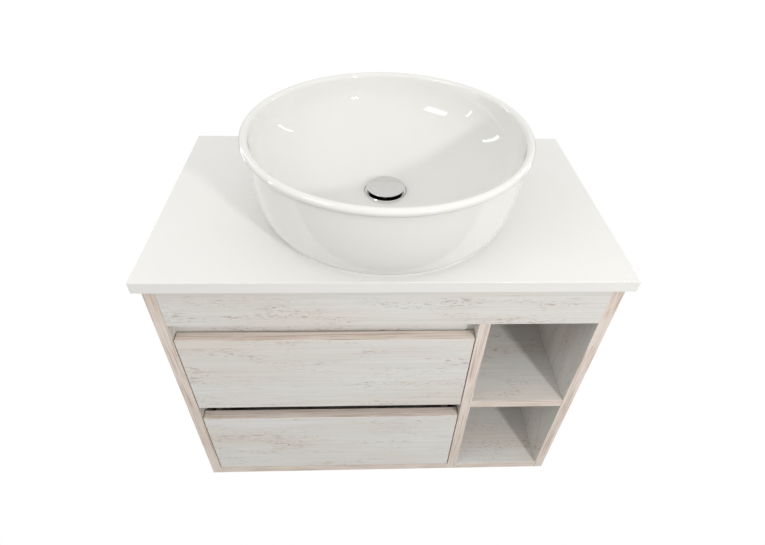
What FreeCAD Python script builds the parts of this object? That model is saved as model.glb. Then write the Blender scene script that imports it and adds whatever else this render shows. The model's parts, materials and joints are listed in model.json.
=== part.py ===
import FreeCAD, Part
import math
import os

# Wall-hung bathroom vanity with a round vessel basin: one STEP file for each sub-part, in millimetres.
# Origin: middle of the hanging rail's back face, on the wall. +X right, +Y into the wall, +Z up.

# ---- driving dimensions --------------------------------------------------------------------------
BOARD = 19.0                  # faced board of the carcass and the drawer fronts
BAND = 1.0                    # edge band on the front edges
EASE = 0.5                    # eased corners of the bands
TOP_W, TOP_D, TOP_T = 750.0, 446.0, 20.0        # worktop
OVERHANG = 10.0               # worktop beyond the cabinet, at the sides and the front
CAB_H = 560.0                 # cabinet below the worktop
APRON_H = 82.0                # fixed front board under the worktop
RAIL_H = 100.0                # hanging rail; the origin is at its mid height
NICHE_W = 177.0               # open niches at the right
FINGER_GAP = 36.0             # space above each drawer front
FRONT_GAP = 2.0               # joint round a drawer front

BASIN_X, BASIN_BACK = 2.0, 2.0                  # basin axis in X, and the gap from its rim to the wall
BASIN_R, BASIN_H = 231.0, 139.0
LIP_R, LIP_FILLET = 6.5, 5.0  # rolled rim, and the hollow curve under it
WALL_R, WALL_TOP = 223.0, 14.0                  # outer wall, and its curve's top below the rim's middle
FOOT_R, FOOT_IN_R = 190.0, 178.0
BEAD_T = 1.2                  # sealant under the foot
BOSS_R, HOLLOW_R = 55.0, 204.0                  # boss round the drain, and the hollow under the bowl
FLOOR_Z = 20.0                # bowl floor above the worktop, at the drain
BOWL_SHELL = 9.0
POWER = 2.0 / 2.4             # superellipse power of the bowl's curves

DRAIN_R = 22.5
FLANGE_R, FLANGE_T = 36.0, 2.5
THREAD_R = 20.5               # waste body
CAP_R = 33.0
PLUG_TRAVEL = 4.0
PIPE_R = 16.0                 # 32 mm waste pipe
PIPE_Z = -80.0                # its axis
TRAP_R = 28.0

HANGER_D = 28.0               # cabinet hangers, in front of the rail
BACK_PANEL_T, SERVICE_GAP = 6.0, 31.0           # thin back panels, and the space behind them
SERVICE_W, SERVICE_H = 224.0, 90.0              # plumbing cut-out behind the drawers
BOX_BOARD = 12.0              # drawer sides and backs
BOX_BOTTOM = 8.0
BOX_H = 150.0
BOX_DROP = 30.0               # top of a drawer box below the top of its front
RUNNER_L, RUNNER_H, RUNNER_T = 350.0, 45.0, 12.7
STEEL = 1.2                   # runner sheet
CUT_W, CUT_D = 124.0, 223.0   # opening in the upper drawer round the trap
SCREW_R = 1.8

# ---- places worked out from them -----------------------------------------------------------------
CAB_TOP = RAIL_H / 2
CAB_BOTTOM = CAB_TOP - CAB_H
TOP_Z = CAB_TOP + TOP_T
FOOT_Z = TOP_Z + BEAD_T                         # underside of the basin
CAB_X = TOP_W / 2 - OVERHANG
IN_X = CAB_X - BOARD
FRONT_Y = OVERHANG - TOP_D                      # front plane of the cabinet
BOARD_Y = FRONT_Y + BAND                        # boards end here, behind their edge bands
BACK_Y = -BOARD                                 # front faces of the two rear rails
PANEL_Y = BACK_Y - SERVICE_GAP                  # rear faces of the thin back panels
FLOOR_TOP = CAB_BOTTOM + BOARD
APRON_Z = CAB_TOP - APRON_H
DIV_X1 = IN_X - NICHE_W
DIV_X0 = DIV_X1 - BOARD
NICHE_H = (APRON_Z - FLOOR_TOP - BOARD) / 2
SHELF_Z = FLOOR_TOP + NICHE_H
MODULE = (APRON_Z - FLOOR_TOP) / 2              # one drawer with its finger gap
INSIDE_FRONT_Y = FRONT_Y + BOARD                # back of the drawer fronts
BASIN_Y = -BASIN_BACK - BASIN_R
GRIP_Y = INSIDE_FRONT_Y + 4.0                   # grip rail, just behind the upper front
GRIP_Z = APRON_Z - FINGER_GAP - 10.0
BOX_X0, BOX_X1 = RUNNER_T - IN_X, DIV_X0 - RUNNER_T
BOX_Y1 = INSIDE_FRONT_Y + RUNNER_L
BOX_IN_X0, BOX_IN_X1 = BOX_X0 + BOX_BOARD, BOX_X1 - BOX_BOARD
BOX_IN_Y1 = BOX_Y1 - BOX_BOARD
CUT_X0, CUT_X1 = BASIN_X - CUT_W / 2, BASIN_X + CUT_W / 2
CUT_Y = BOX_Y1 - CUT_D
SEAT_Z = TOP_Z + FLOOR_Z - 2.0                  # drain recess in the bowl floor
FLANGE_Z = SEAT_Z + 1.0 + FLANGE_T              # top of the waste flange
WASTE_Z = TOP_Z - 55.0                          # lower end of the waste body
CAP_Z = FLANGE_Z + PLUG_TRAVEL + 0.5            # underside of the raised plug cap

X, Y, Z = FreeCAD.Vector(1, 0, 0), FreeCAD.Vector(0, 1, 0), FreeCAD.Vector(0, 0, 1)


# ---- helpers -------------------------------------------------------------------------------------
def block(x0, x1, y0, y1, z0, z1):
    return Part.makeBox(x1 - x0, y1 - y0, z1 - z0, FreeCAD.Vector(x0, y0, z0))


def rod(x, y, z, radius, length, axis=Z):
    """A cylinder that starts at the point and runs along the axis."""
    return Part.makeCylinder(radius, length, FreeCAD.Vector(x, y, z), axis)


def tube(x, y, z, outer, inner, length, axis=Z):
    return rod(x, y, z, outer, length, axis).cut(rod(x, y, z, inner, length, axis))


def drain_ring(z0, z1, outer, inner):
    """A ring on the drain's axis."""
    return tube(BASIN_X, BASIN_Y, z0, outer, inner, z1 - z0)


def turned(edges, x=BASIN_X, y=BASIN_Y):
    """A solid turned about a vertical axis from edges drawn as (radius, 0, height)."""
    face = Part.Face(Part.Wire(edges))
    face.translate(FreeCAD.Vector(x, y, 0))
    return face.revolve(FreeCAD.Vector(x, y, 0), Z, 360)


def at(radius, height):
    return FreeCAD.Vector(radius, 0, height)


def lines(*points):
    """Straight edges through (radius, height) points."""
    ends = [at(*p) for p in points]
    return [Part.LineSegment(a, b).toShape() for a, b in zip(ends, ends[1:])]


def arcs(points):
    """A chain of arcs through (radius, height) points, each arc through three of them."""
    ends = [at(*p) for p in points]
    return [Part.Arc(*ends[i:i + 3]).toShape() for i in range(0, len(ends) - 2, 2)]


def soft_edges(shape, radius, pick):
    """Rounds the edges whose middle point passes the test."""
    chosen = [e for e in shape.Edges if pick(e.CenterOfMass)]
    return shape.makeFillet(radius, chosen)


def hexagon(x, y, z, across, height, axis=Z):
    corner = across / math.sqrt(3)
    turns = [math.radians(60 * i) for i in range(7)]
    ring = [FreeCAD.Vector(corner * math.cos(a), corner * math.sin(a), 0) for a in turns]
    nut = Part.Face(Part.makePolygon(ring)).extrude(FreeCAD.Vector(0, 0, height))
    nut.Placement = FreeCAD.Placement(FreeCAD.Vector(x, y, z), FreeCAD.Rotation(Z, axis))
    return nut


def mirrored(shape):
    """The same piece at the cabinet's other side."""
    return shape.mirror(FreeCAD.Vector(0, 0, 0), X)


def screw(x, y, z, length, axis):
    """A countersunk wood screw as plain facts: its head's face, its length and the way it is driven."""
    return x, y, z, length, axis


def other_side(screws):
    return [(-x, y, z, length, FreeCAD.Vector(-axis.x, axis.y, axis.z)) for x, y, z, length, axis in screws]


def blanks(screws):
    """The screws without their drive sockets, which is what they take out of a board."""
    shapes = []
    for x, y, z, length, axis in screws:
        head = Part.makeCone(2 * SCREW_R, SCREW_R, 2.0, FreeCAD.Vector(x, y, z), axis)
        shapes.append(head.fuse(rod(x, y, z, SCREW_R, length, axis)).removeSplitter())
    return shapes


def finished(screws):
    """The screws with their drive sockets."""
    sockets = [rod(x, y, z, 0.9, 1.0, axis) for x, y, z, length, axis in screws]
    return Part.makeCompound([blank.cut(socket) for blank, socket in zip(blanks(screws), sockets)])


# ---- basin ---------------------------------------------------------------------------------------
def superellipse(radius, depth, top, start, end, steps):
    """Points of a bowl's curve. The turns run from 0 at the axis to a quarter at the rim."""
    turns = [start + (end - start) * (i / steps) for i in range(steps + 1)]
    return [(radius * math.sin(t) ** POWER, top - depth * math.cos(t) ** POWER) for t in turns]


def turn_at(radius, of_radius):
    """Where a bowl's curve of one radius passes another."""
    return math.asin((radius / of_radius) ** (1 / POWER))


def outer_wall(top):
    """The skin from the foot up to the wall under the rim."""
    height = top - FOOT_Z
    turns = [math.pi / 2 * (i / 13) for i in range(14)]
    points = [(FOOT_R + (WALL_R - FOOT_R) * math.sin(t) ** POWER, top - height * math.cos(t) ** POWER)
              for t in turns]
    return points, lines(*points[:2]) + arcs(points[1:])


def rolled_rim(lip_r, lip_z, wall_end):
    """The straight wall, the hollow curve under the rim and the rim's roll."""
    fillet_r = WALL_R + LIP_FILLET
    fillet_z = lip_z - math.sqrt((LIP_R + LIP_FILLET) ** 2 - (fillet_r - lip_r) ** 2)
    share = LIP_R / (LIP_R + LIP_FILLET)
    start = (lip_r + (fillet_r - lip_r) * share, lip_z + (fillet_z - lip_z) * share)
    turn = (math.pi + math.atan2(start[1] - fillet_z, start[0] - fillet_r)) / 2
    middle = (fillet_r + LIP_FILLET * math.cos(turn), fillet_z + LIP_FILLET * math.sin(turn))
    slant = LIP_R / math.sqrt(2)
    fillet = Part.Arc(at(WALL_R, fillet_z), at(*middle), at(*start)).toShape()
    roll = Part.Arc(at(*start), at(lip_r + slant, lip_z + slant), at(lip_r - LIP_R, lip_z)).toShape()
    return lines(wall_end, (WALL_R, fillet_z)) + [fillet, roll]


def basin_profile():
    lip_r, lip_z = BASIN_R - LIP_R, TOP_Z + BASIN_H - LIP_R
    bowl_r, bowl_depth = lip_r - LIP_R, lip_z - TOP_Z - FLOOR_Z
    under_r, under_depth = bowl_r + BOWL_SHELL, bowl_depth + BOWL_SHELL
    recess_r = FLANGE_R + 0.5
    wall, wall_edges = outer_wall(lip_z - WALL_TOP)
    bowl = superellipse(bowl_r, bowl_depth, lip_z, math.pi / 2, turn_at(recess_r, bowl_r), 16)
    boss_turn, hollow_turn = turn_at(BOSS_R, under_r), turn_at(HOLLOW_R, under_r)
    under = superellipse(under_r, under_depth, lip_z, boss_turn, hollow_turn, 10)
    seat = [(recess_r, SEAT_Z), (DRAIN_R, SEAT_Z)]
    drain = lines(bowl[-1], *seat, (DRAIN_R, FOOT_Z), (BOSS_R, FOOT_Z), under[0])
    hollow = Part.Arc(at(*under[-1]), at(HOLLOW_R - 7.0, TOP_Z + 28.0), at(FOOT_IN_R, FOOT_Z)).toShape()
    foot = lines((FOOT_IN_R, FOOT_Z), (FOOT_R, FOOT_Z))
    rim = rolled_rim(lip_r, lip_z, wall[-1])
    return wall_edges + rim + arcs(bowl) + drain + arcs(under) + [hollow] + foot


def make_basin():
    basin = turned(basin_profile())
    bead = drain_ring(TOP_Z, TOP_Z + 3.0, 200.0, FOOT_R - 2.0)
    bead = bead.fuse(drain_ring(TOP_Z, FOOT_Z, FOOT_R, FOOT_IN_R)).cut(basin)
    return {"basin": basin, "foot_sealant": bead.removeSplitter()}


def make_worktop():
    top = block(-TOP_W / 2, TOP_W / 2, -TOP_D, 0, CAB_TOP, TOP_Z)
    middle = TOP_Z - TOP_T / 2
    top = soft_edges(top, 1.0, lambda c: c.y < -1.0 and (c.z > TOP_Z - 0.1 or abs(c.z - middle) < 0.1))
    return {"worktop": top.cut(rod(BASIN_X, BASIN_Y, CAB_TOP, DRAIN_R, TOP_T))}


# ---- waste with its press-to-close plug ----------------------------------------------------------
def make_waste():
    bore = THREAD_R - 3.0
    flange = FLANGE_Z - FLANGE_T
    mouth, throat = (30.5, FLANGE_Z), (bore, FLANGE_Z - 13.5)
    outline = lines(mouth, (FLANGE_R - 1, FLANGE_Z), (FLANGE_R, FLANGE_Z - 1), (FLANGE_R, flange),
                    (THREAD_R, flange), (THREAD_R, WASTE_Z), (bore, WASTE_Z), throat, mouth)
    body = turned(outline)
    hub_z = TOP_Z - 4.0
    arm = block(BASIN_X - bore - 0.5, BASIN_X + bore + 0.5, BASIN_Y - 1.5, BASIN_Y + 1.5, hub_z, hub_z + 6)
    cross = arm.copy()
    cross.rotate(FreeCAD.Vector(BASIN_X, BASIN_Y, 0), Z, 90)
    hub = rod(BASIN_X, BASIN_Y, hub_z, 8.0, 6.0)
    body = body.fuse([arm, cross, hub]).cut(rod(BASIN_X, BASIN_Y, hub_z - 1, 5.5, 8.0))
    nut_top = CAB_TOP - 3.0
    backnut = hexagon(BASIN_X, BASIN_Y, nut_top - 9, 56.0, 9.0)
    backnut = backnut.cut(rod(BASIN_X, BASIN_Y, nut_top - 10, THREAD_R, 12.0))
    cartridge = rod(BASIN_X, BASIN_Y, TOP_Z - 14, 5.5, 16.0)
    cartridge = cartridge.cut(rod(BASIN_X, BASIN_Y, TOP_Z - 10, 3.08, 14.0))
    return {
        "waste_body": body,
        "waste_top_seal": drain_ring(SEAT_Z, flange, FLANGE_R - 1, DRAIN_R + 1.5),
        "waste_bottom_seal": drain_ring(nut_top, CAB_TOP, 32.0, THREAD_R),
        "waste_backnut": backnut,
        "click_cartridge": cartridge,
    }


def make_plug():
    stem_z = TOP_Z - 4.0
    edge_h, rise = 2.2, 1.8
    dome_r = (CAP_R ** 2 + rise ** 2) / (2 * rise)
    top = CAP_Z + edge_h + rise
    middle = top - dome_r + math.sqrt(dome_r ** 2 - CAP_R ** 2 / 4)
    dome = Part.Arc(at(CAP_R, top - rise), at(CAP_R / 2, middle), at(0, top)).toShape()
    outline = lines((0, top), (0, CAP_Z), (CAP_R - 1, CAP_Z), (CAP_R, CAP_Z + 0.8), (CAP_R, top - rise))
    spring_z = TOP_Z - 10.0
    wire_r, coil_r, pitch = 0.35, 2.0, 1.5
    turns_h = stem_z - spring_z - 2 * wire_r - 0.1
    helix = Part.makeHelix(pitch, turns_h, coil_r)
    section = Part.Wire(Part.makeCircle(wire_r, FreeCAD.Vector(coil_r, 0, 0), Y))
    spring = Part.Wire(helix).makePipeShell([section], True, True)
    spring.translate(FreeCAD.Vector(BASIN_X, BASIN_Y, spring_z + wire_r + 0.05))
    return {
        "plug_cap": turned([dome] + outline),
        "plug_seal": drain_ring(CAP_Z - 1.4, CAP_Z, 29.0, 25.0),
        "plug_stem": rod(BASIN_X, BASIN_Y, stem_z, 3.0, CAP_Z - stem_z),
        "plug_spring": spring,
    }


def make_trap():
    """A bottle trap on the drain's axis, and the pipe from it to the wall."""
    body_top, body_bottom = PIPE_Z + 20.0, PIPE_Z - 35.0
    cup_bottom = body_bottom - 37.0
    nut_z = WASTE_Z - 19.0
    nut = rod(BASIN_X, BASIN_Y, nut_z, 25.0, 28.0)
    thread = rod(BASIN_X, BASIN_Y, nut_z + 4, THREAD_R, 30.0)
    nut = nut.cut(rod(BASIN_X, BASIN_Y, nut_z, 16.2, 10.0))
    ribs = [block(BASIN_X + 24, BASIN_X + 27, BASIN_Y - 1.5, BASIN_Y + 1.5, nut_z, nut_z + 28)]
    for i in range(1, 8):
        rib = ribs[0].copy()
        rib.rotate(FreeCAD.Vector(BASIN_X, BASIN_Y, 0), Z, 45 * i)
        ribs.append(rib)
    flange = drain_ring(WASTE_Z - 5, WASTE_Z - 1, 20.0, 14.0)
    pipe = drain_ring(PIPE_Z - 45, WASTE_Z - 1, PIPE_R, 14.0).fuse(flange).removeSplitter()
    out_y = BASIN_Y + 52.0
    body = rod(BASIN_X, BASIN_Y, body_bottom, TRAP_R, body_top - body_bottom)
    neck = rod(BASIN_X, BASIN_Y, body_top, 21.0, 14.0)
    body = body.fuse([neck, rod(BASIN_X, BASIN_Y, PIPE_Z, 19.0, 52.0, Y)])
    body = body.cut(rod(BASIN_X, BASIN_Y, body_bottom, TRAP_R - 3, body_top - body_bottom - 3))
    body = body.cut(rod(BASIN_X, BASIN_Y, body_top - 4, 16.1, 20.0))
    body = body.cut(rod(BASIN_X, BASIN_Y + 18, PIPE_Z, 16.3, 40.0, Y))
    cup = rod(BASIN_X, BASIN_Y, cup_bottom, 31.0, 48.0)
    cup = soft_edges(cup, 5.0, lambda c: c.z < cup_bottom + 0.1)
    cup = cup.cut(rod(BASIN_X, BASIN_Y, body_bottom - 1, TRAP_R + 0.1, 20.0))
    cup = cup.cut(rod(BASIN_X, BASIN_Y, cup_bottom + 3, 26.0, 40.0))
    out_nut = rod(BASIN_X, out_y - 10, PIPE_Z, 24.0, 22.0, Y)
    out_nut = out_nut.cut(rod(BASIN_X, out_y - 11, PIPE_Z, 19.1, 19.0, Y))
    out_nut = out_nut.cut(rod(BASIN_X, out_y, PIPE_Z, 16.2, 20.0, Y))
    free_y = out_y + 12.0
    outlet = rod(BASIN_X, out_y - 14, PIPE_Z, PIPE_R - 0.2, free_y - out_y + 14, Y)
    outlet = outlet.fuse(rod(BASIN_X, free_y, PIPE_Z, PIPE_R, -free_y, Y))
    return {
        "trap_inlet_nut": nut.fuse(ribs).cut(thread),
        "trap_inlet_pipe": pipe,
        "trap_body": body,
        "trap_cup": cup,
        "trap_outlet_nut": out_nut,
        "waste_pipe": outlet.cut(rod(BASIN_X, out_y - 15, PIPE_Z, 14.5, 300.0, Y)),
    }


# ---- cabinet -------------------------------------------------------------------------------------
def make_carcass():
    side = block(-CAB_X, -IN_X, BOARD_Y, 0, CAB_BOTTOM, CAB_TOP)
    divider = block(DIV_X0, DIV_X1, BOARD_Y, BACK_Y, FLOOR_TOP, APRON_Z)
    divider = divider.fuse(block(DIV_X0, DIV_X1, INSIDE_FRONT_Y, BACK_Y, APRON_Z, CAB_TOP)).removeSplitter()
    rail = block(-IN_X, IN_X, BACK_Y, 0, -CAB_TOP, CAB_TOP)
    notch = block(-IN_X, -IN_X + 60, BACK_Y, 0, CAB_TOP - 70, CAB_TOP)
    panel_front = PANEL_Y - BACK_PANEL_T
    service_x = BASIN_X - SERVICE_W / 2
    service = block(service_x, service_x + SERVICE_W, panel_front, PANEL_Y, -CAB_TOP - SERVICE_H, -CAB_TOP)
    drawer_back = block(-IN_X, DIV_X0, panel_front, PANEL_Y, FLOOR_TOP, CAB_TOP).cut(service)
    apron = block(-IN_X, IN_X, FRONT_Y, INSIDE_FRONT_Y, APRON_Z, CAB_TOP)
    return {
        "side_panel_left": side,
        "side_panel_right": mirrored(side),
        "bottom_panel": block(-IN_X, IN_X, BOARD_Y, 0, CAB_BOTTOM, FLOOR_TOP),
        "divider": divider,
        "apron": soft_edges(apron, EASE, lambda c: c.y < FRONT_Y + 0.1 and c.z < APRON_Z + 0.1),
        "grip_rail": block(-IN_X, DIV_X0, GRIP_Y, GRIP_Y + BOARD, GRIP_Z, APRON_Z + 22),
        "niche_shelf": block(DIV_X1 + 0.3, IN_X - 0.3, BOARD_Y + 1, panel_front, SHELF_Z, SHELF_Z + BOARD),
        "niche_back": block(DIV_X1, IN_X, panel_front, PANEL_Y, FLOOR_TOP, CAB_TOP),
        "drawer_bay_back": drawer_back,
        "hanging_rail": rail.cut([notch, mirrored(notch)]),
        "lower_rear_rail": block(-IN_X, IN_X, BACK_Y, 0, FLOOR_TOP, FLOOR_TOP + 80),
    }


def make_edge_bands():
    def band(x0, x1, z0, z1, y=FRONT_Y):
        strip = block(x0, x1, y, y + BAND, z0, z1)
        tall = z1 - z0 > x1 - x0
        middle = (z0 + z1) / 2
        return soft_edges(strip, EASE, lambda c: c.y < y + 0.1 and (abs(c.z - middle) < 0.1) == tall)

    side = band(-CAB_X, -IN_X, CAB_BOTTOM, CAB_TOP)
    floor = band(-IN_X, IN_X, CAB_BOTTOM, FLOOR_TOP)
    upright = band(DIV_X0, DIV_X1, FLOOR_TOP, APRON_Z)
    shelf = band(DIV_X1 + 0.3, IN_X - 0.3, SHELF_Z, SHELF_Z + BOARD, FRONT_Y + 1)
    return {"cabinet_edge_bands": Part.makeCompound([side, mirrored(side), floor, upright, shelf])}


def make_cam_fittings():
    """Cam locks in the boards, and the bolts that reach them from the side panels."""
    reach, cam_r, cam_t = 34.0, 7.5, 14.0
    cams, bolts = [], []

    def joint(y, z, axis, face_y=None, face_z=None):
        for end in (-1, 1):
            x = end * (IN_X - reach)
            start = (x, face_y if face_y is not None else y, face_z if face_z is not None else z)
            cams.append(rod(*start, cam_r, cam_t, axis))
            bolts.append(rod(end * (IN_X + 11.0), y, z, 3.0, reach + 9.0, X * -end))

    for y in (FRONT_Y + 60, -60.0):
        joint(y, CAB_BOTTOM + BOARD / 2, Z, face_z=CAB_BOTTOM)
    for z in (APRON_Z + 20, CAB_TOP - 20):
        joint(FRONT_Y + BOARD / 2, z, Y * -1, face_y=INSIDE_FRONT_Y)
    joint(BACK_Y / 2, -35.0, Y, face_y=BACK_Y)
    for z in (FLOOR_TOP + 20, FLOOR_TOP + 60):
        joint(BACK_Y / 2, z, Y, face_y=BACK_Y)
    bolts = Part.makeCompound(bolts)
    return {"cam_locks": Part.makeCompound([c.cut(bolts) for c in cams]), "cam_bolts": bolts}


def make_hangers():
    """Cabinet hangers hooked over plates that are screwed to the wall."""
    hook_top, hook_x0, hook_x1 = 36.0, -IN_X + 10, -IN_X + 22
    body = block(-IN_X, -IN_X + 24, BACK_Y - HANGER_D, BACK_Y, -25, 45)
    body = soft_edges(body, 2.0, lambda c: c.y < BACK_Y - HANGER_D + 1 and abs(c.z - 10) < 36)
    arm = block(hook_x0, hook_x1, BACK_Y - 1, -3.2, hook_top - 5, hook_top)
    tooth = block(hook_x0, hook_x1, -5.3, -3.2, 12, hook_top)
    heads = [rod(-IN_X + 12, BACK_Y - HANGER_D, z, 4.0, 1.5, Y * -1) for z in (-8.0, 22.0)]
    hanger = body.fuse([arm, tooth] + heads)
    sockets = [rod(-IN_X + 12, BACK_Y - HANGER_D - 1.5, z, 1.6, 1.2, Y) for z in (-8.0, 22.0)]
    hanger = hanger.cut(sockets)
    plate = block(-IN_X + 6, -IN_X + 54, -2.5, 0, -15, 45)
    hook_x = (-IN_X + 6, -IN_X + 30)
    plate = plate.fuse([block(*hook_x, -8.5, -2.5, 4, 8), block(*hook_x, -8.5, -6, 4, 31)])
    plate = plate.cut([rod(-IN_X + 43, -3, z, 3.25, 4.0, Y) for z in (-5.0, 35.0)])
    return {
        "cabinet_hangers": Part.makeCompound([hanger, mirrored(hanger)]),
        "wall_plates": Part.makeCompound([plate, mirrored(plate)]),
    }


def make_worktop_brackets():
    """Angle brackets under the worktop, on the side panels, with their screws."""
    leg, thick, width = 25.0, 2.5, 30.0
    brackets, screws = [], []
    for y in (FRONT_Y + 100, -110.0):
        upright = block(-IN_X, -IN_X + thick, y, y + width, CAB_TOP - leg, CAB_TOP)
        flat = block(-IN_X, -IN_X + leg, y, y + width, CAB_TOP - thick, CAB_TOP)
        bracket = upright.fuse(flat).removeSplitter()
        pair = [screw(-IN_X + 16, y + width / 2, CAB_TOP - thick - 0.2, 14.0, Z),
                screw(-IN_X + thick + 0.2, y + width / 2, CAB_TOP - 17, 14.0, X * -1)]
        bracket = bracket.cut(blanks(pair))
        brackets += [bracket, mirrored(bracket)]
        screws += pair + other_side(pair)
    return brackets, screws


def make_small_fittings():
    """Shelf pins, drawer stops and the screws that join the divider to the floor."""
    pins = []
    for y in (FRONT_Y + 70, -80.0):
        for x, way in ((DIV_X1, 1), (IN_X, -1)):
            peg = rod(x - way * 9, y, SHELF_Z - 2.5, 2.5, 17.0, X * way)
            pins.append(peg)
    bumpers = []
    for x in (-IN_X + 40, DIV_X0 - 40):
        bumpers.append(Part.makeCone(2.2, 3.0, 3.5, FreeCAD.Vector(x, GRIP_Y - 3.5, GRIP_Z + 3.2), Y))
    stops = []
    for x in (-IN_X + 60, DIV_X0 - 90):
        stop = block(x, x + 30, INSIDE_FRONT_Y + 0.5, INSIDE_FRONT_Y + 18, FLOOR_TOP, FLOOR_TOP + 9)
        stops.append(soft_edges(stop, 2.0, lambda c: c.z > FLOOR_TOP + 8.9))
    middle = DIV_X0 + BOARD / 2
    screws = [screw(middle, y, CAB_BOTTOM, 50.0, Z) for y in (FRONT_Y + 60, -90.0)]
    return pins, bumpers, stops, screws


# ---- drawer runners ------------------------------------------------------------------------------
def channel(web_x, lip_x, height, y0, z, way):
    """A C-shaped runner member: its web is at web_x and its lips reach to lip_x.

    way is +1 at the left.
    """
    x0, x1 = sorted((way * web_x, way * lip_x))
    solid = block(x0, x1, y0, y0 + RUNNER_L, z - height / 2, z + height / 2)
    across = lip_x - web_x
    inner = sorted((way * (web_x + math.copysign(STEEL, across)), way * (lip_x + math.copysign(5, across))))
    return solid.cut(block(*inner, y0 - 1, y0 + RUNNER_L + 1, z - height / 2 + STEEL, z + height / 2 - STEEL))


def make_runners(z):
    """The cabinet, intermediate and drawer members of one drawer's two runners, and their screws."""
    members = {"cabinet": [], "intermediate": [], "drawer": []}
    cabinet_screws, drawer_screws = [], []
    y0 = INSIDE_FRONT_Y + 0.5
    profiles = {
        "cabinet": (0.0, 9.6, RUNNER_H),
        "intermediate": (2.4, 11.0, 36.0),
        "drawer": (RUNNER_T, 4.6, 26.0),
    }
    for wall_x, way in ((-IN_X, 1), (DIV_X0, -1)):
        for kind, (web, lip, height) in profiles.items():
            member = channel(web, lip, height, y0, z, way)
            member.translate(FreeCAD.Vector(wall_x, 0, 0))
            members[kind].append(member)
        for y in (y0 + 35, y0 + 180, y0 + 320):
            cabinet_screws.append(screw(wall_x + way * STEEL, y, z, 13.0, X * -way))
            drawer_screws.append(screw(wall_x + way * (RUNNER_T - STEEL), y, z, 9.0, X * way))
    members["cabinet"] = [m.cut(blanks(cabinet_screws)) for m in members["cabinet"]]
    members["drawer"] = [m.cut(blanks(drawer_screws)) for m in members["drawer"]]
    return members, cabinet_screws, drawer_screws


# ---- drawers -------------------------------------------------------------------------------------
def drawer_front(top):
    x0, x1 = FRONT_GAP - IN_X, DIV_X0 - FRONT_GAP
    bottom = top - MODULE + FINGER_GAP + FRONT_GAP
    front = block(x0 + BAND, x1 - BAND, FRONT_Y, INSIDE_FRONT_Y, bottom + BAND, top - BAND)
    frame = block(x0, x1, FRONT_Y, INSIDE_FRONT_Y, bottom, top)
    frame = soft_edges(frame, EASE, lambda c: abs(c.y - (FRONT_Y + INSIDE_FRONT_Y) / 2) > 0.1).cut(front)
    level = block(x0, x1, FRONT_Y, INSIDE_FRONT_Y, bottom + BAND, top - BAND)
    bands = [piece for side in (frame.cut(level), frame.common(level)) for piece in side.Solids]
    return front, Part.makeCompound(bands)


def front_screws(z0):
    """Screws through the angle of each drawer side into the front, along its two ends."""
    middle = BOX_BOARD / 2
    return [screw(x, INSIDE_FRONT_Y + 25, z, 35.0, Y * -1)
            for x in (BOX_X0 + middle, BOX_X1 - middle) for z in (z0 + 30, z0 + BOX_H - 30)]


def drawer_box(name, top):
    """The boards of one drawer box behind its front, without the trap opening."""
    z0 = top - BOX_DROP - BOX_H
    z1 = z0 + BOX_H
    return z0, {
        name + "_side_left": block(BOX_X0, BOX_IN_X0, INSIDE_FRONT_Y, BOX_Y1, z0, z1),
        name + "_side_right": block(BOX_IN_X1, BOX_X1, INSIDE_FRONT_Y, BOX_Y1, z0, z1),
        name + "_back": block(BOX_IN_X0, BOX_IN_X1, BOX_IN_Y1, BOX_Y1, z0, z1),
        name + "_bottom": block(BOX_IN_X0, BOX_IN_X1, INSIDE_FRONT_Y, BOX_IN_Y1, z0 + 2, z0 + 2 + BOX_BOTTOM),
    }


def open_round_trap(boards, z0):
    """Cuts the upper box round the trap and lines the opening with boards."""
    z1 = z0 + BOX_H
    x0, x1 = CUT_X0 - BOX_BOARD, CUT_X1 + BOX_BOARD
    y0 = CUT_Y - BOX_BOARD
    boards.pop("upper_back")
    boards["upper_back_left"] = block(BOX_IN_X0, x0, BOX_IN_Y1, BOX_Y1, z0, z1)
    boards["upper_back_right"] = block(x1, BOX_IN_X1, BOX_IN_Y1, BOX_Y1, z0, z1)
    boards["upper_bottom"] = boards["upper_bottom"].cut(block(x0, x1, y0, 0, z0, z1))
    lining = [
        block(x0, CUT_X0, CUT_Y, BOX_Y1, z0, z1),
        block(CUT_X1, x1, CUT_Y, BOX_Y1, z0, z1),
        block(x0, x1, y0, CUT_Y, z0, z1),
    ]
    boards["upper_cutout_lining"] = Part.makeCompound(lining)


def make_drawer(name, top):
    z0, boards = drawer_box(name, top)
    front, bands = drawer_front(top)
    boards[name + "_front"] = front
    members, cabinet_screws, runner_screws = make_runners(z0 + BOX_H / 2)
    screws = runner_screws + front_screws(z0)
    if name == "upper":
        open_round_trap(boards, z0)
    for key in (name + "_side_left", name + "_side_right", name + "_front"):
        boards[key] = boards[key].cut(blanks(screws))
    boards[name + "_front_edge_bands"] = bands
    boards[name + "_drawer_members"] = Part.makeCompound(members["drawer"])
    boards[name + "_drawer_screws"] = finished(screws)
    boards[name + "_intermediate_members"] = Part.makeCompound(members["intermediate"])
    return boards, members["cabinet"], cabinet_screws


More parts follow.
